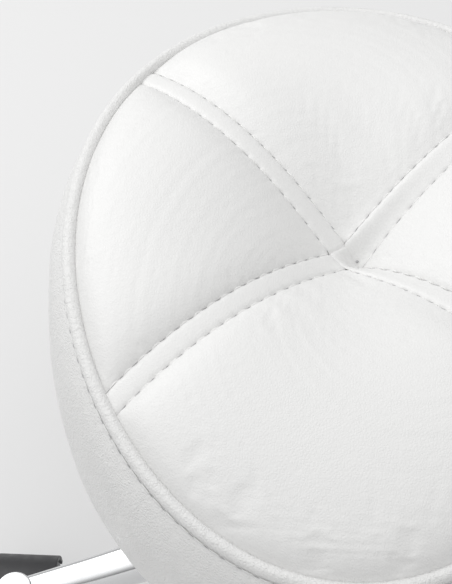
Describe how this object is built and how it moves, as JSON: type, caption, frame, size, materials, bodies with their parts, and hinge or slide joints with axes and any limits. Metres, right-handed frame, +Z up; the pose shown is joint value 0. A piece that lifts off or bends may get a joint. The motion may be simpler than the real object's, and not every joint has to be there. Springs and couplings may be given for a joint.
{
  "type": "pedicure stool",
  "caption": "Low height-adjustable stool: oval white padded seat with crossed straps and piped rim, gas lift column, star base on twin-wheel casters.",
  "frame": {"origin": "on the floor, on the axis of the column", "axes": "+Z up, X along the long axis of the seat (the sitter's width), -Y the sitter's front"},
  "size_m": [0.454, 0.453, 0.3954],
  "materials": {
    "white_leather": "satin, fine grain",
    "seat_foam": "open cell",
    "plywood": "matte",
    "dust_felt": "matte",
    "chrome": "polished",
    "polished_aluminium": "mirror polished die casting",
    "zinc_steel": "zinc plated",
    "black_steel": "satin powder coat",
    "black_nylon": "fine moulded grain",
    "grey_tyre": "satin"
  },
  "bodies": {
    "base": {"star_base": "polished_aluminium", "outer_column": "chrome", "column_bush": "black_nylon", "thrust_race_lower": "zinc_steel", "caster_1_stem": "zinc_steel", "caster_2_stem": "zinc_steel", "caster_3_stem": "zinc_steel", "caster_4_stem": "zinc_steel", "caster_5_stem": "zinc_steel"},
    "rod": {"piston_rod": "chrome", "thrust_race_upper": "zinc_steel", "retaining_clip": "zinc_steel"},
    "ball_cage": {"thrust_ball_cage": "zinc_steel"},
    "seat": {"top_panel_right": "white_leather", "top_panel_rear": "white_leather", "top_panel_left": "white_leather", "top_panel_front": "white_leather", "strap_whole": "white_leather", "strap_half_front": "white_leather", "strap_half_rear": "white_leather", "piping": "white_leather", "side_band": "white_leather", "foam_pad": "seat_foam", "seat_board": "plywood", "dust_cover": "dust_felt", "t_nut_1": "zinc_steel", "t_nut_2": "zinc_steel", "t_nut_3": "zinc_steel", "t_nut_4": "zinc_steel", "plate_bolt_1": "zinc_steel", "plate_bolt_2": "zinc_steel", "plate_bolt_3": "zinc_steel", "plate_bolt_4": "zinc_steel", "seat_plate": "black_steel", "lever_pivot_pin": "zinc_steel", "gas_cylinder": "chrome", "rod_gland": "black_nylon"},
    "lever": {"height_lever": "chrome", "lever_grip": "black_nylon"},
    "pin": {"release_pin": "zinc_steel"},
    "caster_1": {"caster_1_housing": "black_nylon", "caster_1_axle": "zinc_steel"},
    "wheel_1_left": {"caster_1_wheel_left": "grey_tyre"},
    "wheel_1_right": {"caster_1_wheel_right": "grey_tyre"},
    "caster_2": {"caster_2_housing": "black_nylon", "caster_2_axle": "zinc_steel"},
    "wheel_2_left": {"caster_2_wheel_left": "grey_tyre"},
    "wheel_2_right": {"caster_2_wheel_right": "grey_tyre"},
    "caster_3": {"caster_3_housing": "black_nylon", "caster_3_axle": "zinc_steel"},
    "wheel_3_left": {"caster_3_wheel_left": "grey_tyre"},
    "wheel_3_right": {"caster_3_wheel_right": "grey_tyre"},
    "caster_4": {"caster_4_housing": "black_nylon", "caster_4_axle": "zinc_steel"},
    "wheel_4_left": {"caster_4_wheel_left": "grey_tyre"},
    "wheel_4_right": {"caster_4_wheel_right": "grey_tyre"},
    "caster_5": {"caster_5_housing": "black_nylon", "caster_5_axle": "zinc_steel"},
    "wheel_5_left": {"caster_5_wheel_left": "grey_tyre"},
    "wheel_5_right": {"caster_5_wheel_right": "grey_tyre"}
  },
  "joints": [
    {"name": "seat_swivel", "type": "hinge", "parent": "base", "child": "rod", "pos_m": [0, 0, 0.06], "axis": [0, 0, 1], "continuous": true},
    {"name": "ball_cage_roll", "type": "hinge", "parent": "base", "child": "ball_cage", "pos_m": [0, 0, 0.054], "axis": [0, 0, 1], "continuous": true},
    {"name": "seat_lift", "type": "slide", "parent": "rod", "child": "seat", "axis": [0, 0, 1], "range_m": [0, 0.08]},
    {"name": "lever_pull", "type": "hinge", "parent": "seat", "child": "lever", "pos_m": [-0.038, 0, 0.2793], "axis": [0, 1, 0], "range_deg": [0, 6], "stiffness_Nm_per_rad": 2},
    {"name": "pin_press", "type": "slide", "parent": "seat", "child": "pin", "axis": [0, 0, -1], "range_m": [0, 0.004]},
    {"name": "caster_1_swivel", "type": "hinge", "parent": "base", "child": "caster_1", "pos_m": [0.215, 0, 0.06], "axis": [0, 0, 1], "continuous": true},
    {"name": "wheel_1_left_roll", "type": "hinge", "parent": "caster_1", "child": "wheel_1_left", "pos_m": [0.19144, 0.0145, 0.025], "axis": [0, -1, 0], "continuous": true},
    {"name": "wheel_1_right_roll", "type": "hinge", "parent": "caster_1", "child": "wheel_1_right", "pos_m": [0.19144, -0.0145, 0.025], "axis": [0, -1, 0], "continuous": true},
    {"name": "caster_2_swivel", "type": "hinge", "parent": "base", "child": "caster_2", "pos_m": [0.06644, 0.20448, 0.06], "axis": [0, 0, 1], "continuous": true},
    {"name": "wheel_2_left_roll", "type": "hinge", "parent": "caster_2", "child": "wheel_2_left", "pos_m": [0.04288, 0.21898, 0.025], "axis": [0, -1, 0], "continuous": true},
    {"name": "wheel_2_right_roll", "type": "hinge", "parent": "caster_2", "child": "wheel_2_right", "pos_m": [0.04288, 0.18998, 0.025], "axis": [0, -1, 0], "continuous": true},
    {"name": "caster_3_swivel", "type": "hinge", "parent": "base", "child": "caster_3", "pos_m": [-0.17394, 0.12637, 0.06], "axis": [0, 0, 1], "continuous": true},
    {"name": "wheel_3_left_roll", "type": "hinge", "parent": "caster_3", "child": "wheel_3_left", "pos_m": [-0.1975, 0.14087, 0.025], "axis": [0, -1, 0], "continuous": true},
    {"name": "wheel_3_right_roll", "type": "hinge", "parent": "caster_3", "child": "wheel_3_right", "pos_m": [-0.1975, 0.11187, 0.025], "axis": [0, -1, 0], "continuous": true},
    {"name": "caster_4_swivel", "type": "hinge", "parent": "base", "child": "caster_4", "pos_m": [-0.17394, -0.12637, 0.06], "axis": [0, 0, 1], "continuous": true},
    {"name": "wheel_4_left_roll", "type": "hinge", "parent": "caster_4", "child": "wheel_4_left", "pos_m": [-0.1975, -0.11187, 0.025], "axis": [0, -1, 0], "continuous": true},
    {"name": "wheel_4_right_roll", "type": "hinge", "parent": "caster_4", "child": "wheel_4_right", "pos_m": [-0.1975, -0.14087, 0.025], "axis": [0, -1, 0], "continuous": true},
    {"name": "caster_5_swivel", "type": "hinge", "parent": "base", "child": "caster_5", "pos_m": [0.06644, -0.20448, 0.06], "axis": [0, 0, 1], "continuous": true},
    {"name": "wheel_5_left_roll", "type": "hinge", "parent": "caster_5", "child": "wheel_5_left", "pos_m": [0.04288, -0.18998, 0.025], "axis": [0, -1, 0], "continuous": true},
    {"name": "wheel_5_right_roll", "type": "hinge", "parent": "caster_5", "child": "wheel_5_right", "pos_m": [0.04288, -0.21898, 0.025], "axis": [0, -1, 0], "continuous": true}
  ],
  "couplings": [
    {"joint": "ball_cage_roll", "follows": "seat_swivel", "ratio": 0.5},
    {"joint": "pin_press", "follows": "lever_pull", "m_per_rad": 0.038}
  ]
}
